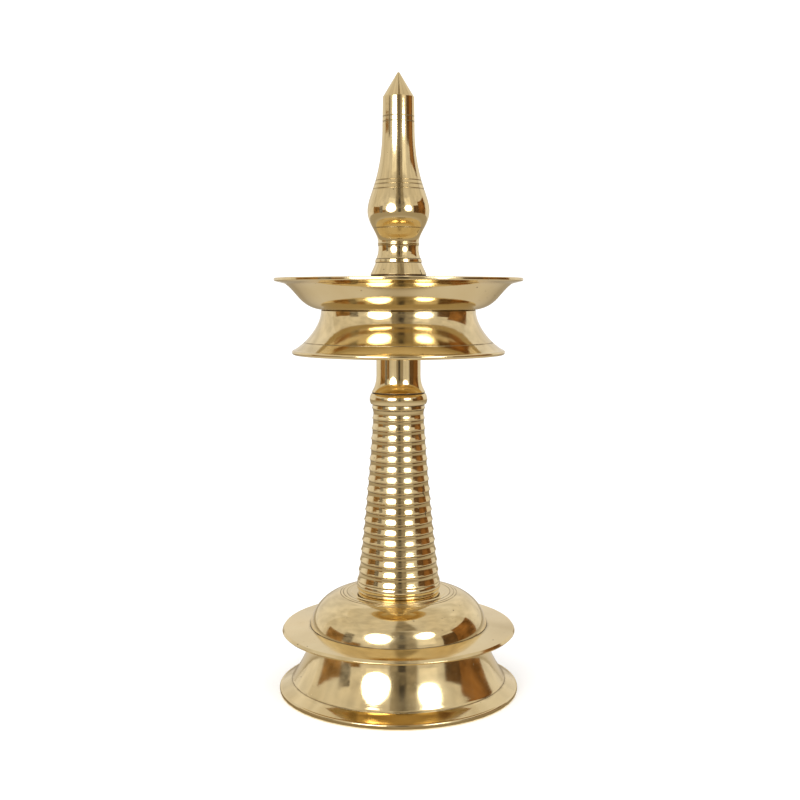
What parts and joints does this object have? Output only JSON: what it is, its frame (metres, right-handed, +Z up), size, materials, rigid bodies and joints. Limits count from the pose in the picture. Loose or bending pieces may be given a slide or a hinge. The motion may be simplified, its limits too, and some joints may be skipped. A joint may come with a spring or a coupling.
{
  "type": "standing oil lamp",
  "caption": "Turned brass standing oil lamp: hollow flared foot, domed base, ribbed column, skirted oil dish and pointed finial that screw together.",
  "frame": {"origin": "centre of the foot's underside, on the surface the lamp stands on", "axes": "+Z up along the lamp's turning axis; the lamp is the same from every side"},
  "size_m": [0.1222, 0.1222, 0.305],
  "materials": {
    "polished_brass": "polished, fine lathe lines",
    "dark_leather": "oil-soaked, matt"
  },
  "bodies": {
    "base": {"foot_ring": "polished_brass", "base_dome": "polished_brass"},
    "column_seat": {"seat_ring": "polished_brass"},
    "column": {"column": "polished_brass"},
    "bowl_seat": {"collar_washer": "dark_leather"},
    "bowl": {"neck": "polished_brass", "skirt": "polished_brass", "bowl": "polished_brass"},
    "finial_seat": {"finial_washer": "dark_leather"},
    "finial": {"finial": "polished_brass"}
  },
  "joints": [
    {"name": "column_lift", "type": "slide", "parent": "base", "child": "column_seat", "axis": [0, 0, 1], "range_m": [0, 0.0125]},
    {"name": "column_turn", "type": "hinge", "parent": "column_seat", "child": "column", "pos_m": [0, 0, 0.0509], "axis": [0, 0, 1], "range_deg": [0, 1800]},
    {"name": "bowl_lift", "type": "slide", "parent": "column", "child": "bowl_seat", "axis": [0, 0, 1], "range_m": [0, 0.01]},
    {"name": "bowl_turn", "type": "hinge", "parent": "bowl_seat", "child": "bowl", "pos_m": [0, 0, 0.15], "axis": [0, 0, 1], "range_deg": [0, 1800]},
    {"name": "finial_lift", "type": "slide", "parent": "bowl", "child": "finial_seat", "axis": [0, 0, 1], "range_m": [0, 0.008]},
    {"name": "finial_turn", "type": "hinge", "parent": "finial_seat", "child": "finial", "pos_m": [0, 0, 0.2076], "axis": [0, 0, 1], "range_deg": [0, 1440]}
  ],
  "couplings": [
    {"joint": "column_lift", "follows": "column_turn", "m_per_rad": 0.00039789},
    {"joint": "bowl_lift", "follows": "bowl_turn", "m_per_rad": 0.00031831},
    {"joint": "finial_lift", "follows": "finial_turn", "m_per_rad": 0.00031831}
  ]
}
